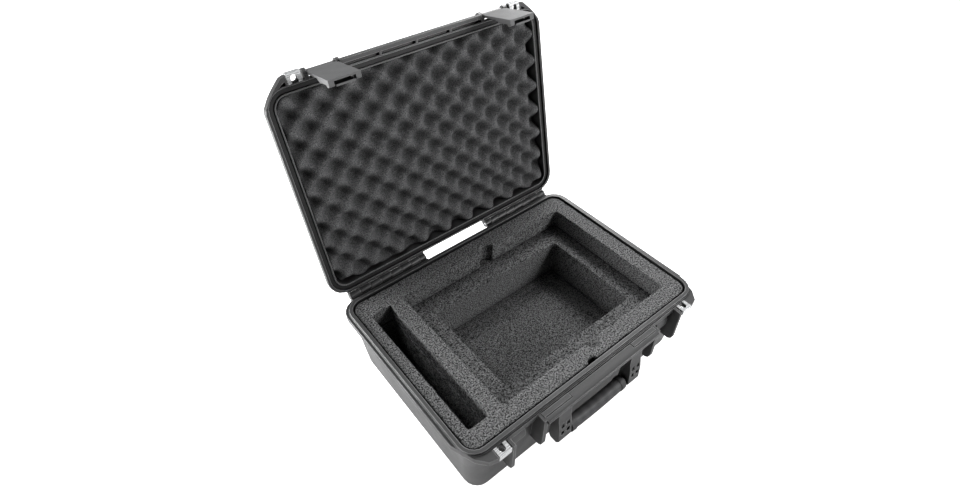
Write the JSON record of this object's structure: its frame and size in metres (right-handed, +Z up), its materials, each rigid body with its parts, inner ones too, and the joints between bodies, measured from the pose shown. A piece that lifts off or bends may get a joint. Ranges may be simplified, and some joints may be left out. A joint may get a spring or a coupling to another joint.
{
  "type": "laptop hard case",
  "caption": "Open moulded hard case with hinged lid, latches with triggers, carrying handle, seal, stepped foam insert and convoluted lid foam.",
  "frame": {"origin": "centre of the base's flat underside, on the floor", "axes": "+X to the right seen from the front, -Y towards the latches and handle, +Y towards the hinges, +Z up"},
  "size_m": [0.5, 0.5113, 0.5083],
  "materials": {
    "case_plastic": "moulded plastic, fine satin texture",
    "latch_plastic": "moulded plastic, smooth satin",
    "grip_rubber": "soft overmoulded rubber, matt",
    "seal_rubber": "rubber cord seal, matt",
    "steel": "plated steel, bright",
    "base_foam": "closed cell polyethylene foam, coarse cut grain",
    "lid_foam": "open cell convoluted foam, fine and soft"
  },
  "bodies": {
    "base": {"base_shell": "case_plastic", "base_foam_top": "base_foam", "base_foam_middle": "base_foam", "base_foam_floor": "base_foam", "valve_body": "latch_plastic", "valve_nut": "latch_plastic", "valve_seal": "seal_rubber", "hinge_pin_left": "steel", "handle_pin_left": "steel", "lock_plate_base_left": "steel", "hinge_pin_right": "steel", "handle_pin_right": "steel", "lock_plate_base_right": "steel"},
    "lid": {"lid_shell": "case_plastic", "lid_seal": "seal_rubber", "lid_foam": "lid_foam", "lock_plate_lid_left": "steel", "latch_pin_left": "steel", "lock_plate_lid_right": "steel", "latch_pin_right": "steel"},
    "handle": {"handle_frame": "latch_plastic", "handle_grip": "grip_rubber"},
    "left_latch": {"latch_left": "latch_plastic", "trigger_pin_left": "steel", "trigger_spring_left": "steel"},
    "left_trigger": {"latch_trigger_left": "latch_plastic"},
    "right_latch": {"latch_right": "latch_plastic", "trigger_pin_right": "steel", "trigger_spring_right": "steel"},
    "right_trigger": {"latch_trigger_right": "latch_plastic"}
  },
  "joints": [
    {"name": "lid_hinge", "type": "hinge", "parent": "base", "child": "lid", "pos_m": [0, 0.1857, 0.1336], "axis": [1, 0, 0], "range_deg": [0, 101.95]},
    {"name": "handle_swing", "type": "hinge", "parent": "base", "child": "handle", "pos_m": [0, -0.181, 0.1166], "axis": [-1, 0, 0], "range_deg": [0, 90]},
    {"name": "latch_left_swing", "type": "hinge", "parent": "lid", "child": "left_latch", "pos_m": [-0.1545, 0.27169, 0.49063], "axis": [-1, 0, 0], "range_deg": [-4.5, 105]},
    {"name": "trigger_left_pull", "type": "hinge", "parent": "left_latch", "child": "left_trigger", "pos_m": [-0.1545, 0.21436, 0.49796], "axis": [-1, 0, 0], "range_deg": [0, 14], "stiffness_Nm_per_rad": 0.03, "springref_deg": -17.19},
    {"name": "latch_right_swing", "type": "hinge", "parent": "lid", "child": "right_latch", "pos_m": [0.1545, 0.27169, 0.49063], "axis": [-1, 0, 0], "range_deg": [-4.5, 105]},
    {"name": "trigger_right_pull", "type": "hinge", "parent": "right_latch", "child": "right_trigger", "pos_m": [0.1545, 0.21436, 0.49796], "axis": [-1, 0, 0], "range_deg": [0, 14], "stiffness_Nm_per_rad": 0.03, "springref_deg": -17.19}
  ]
}
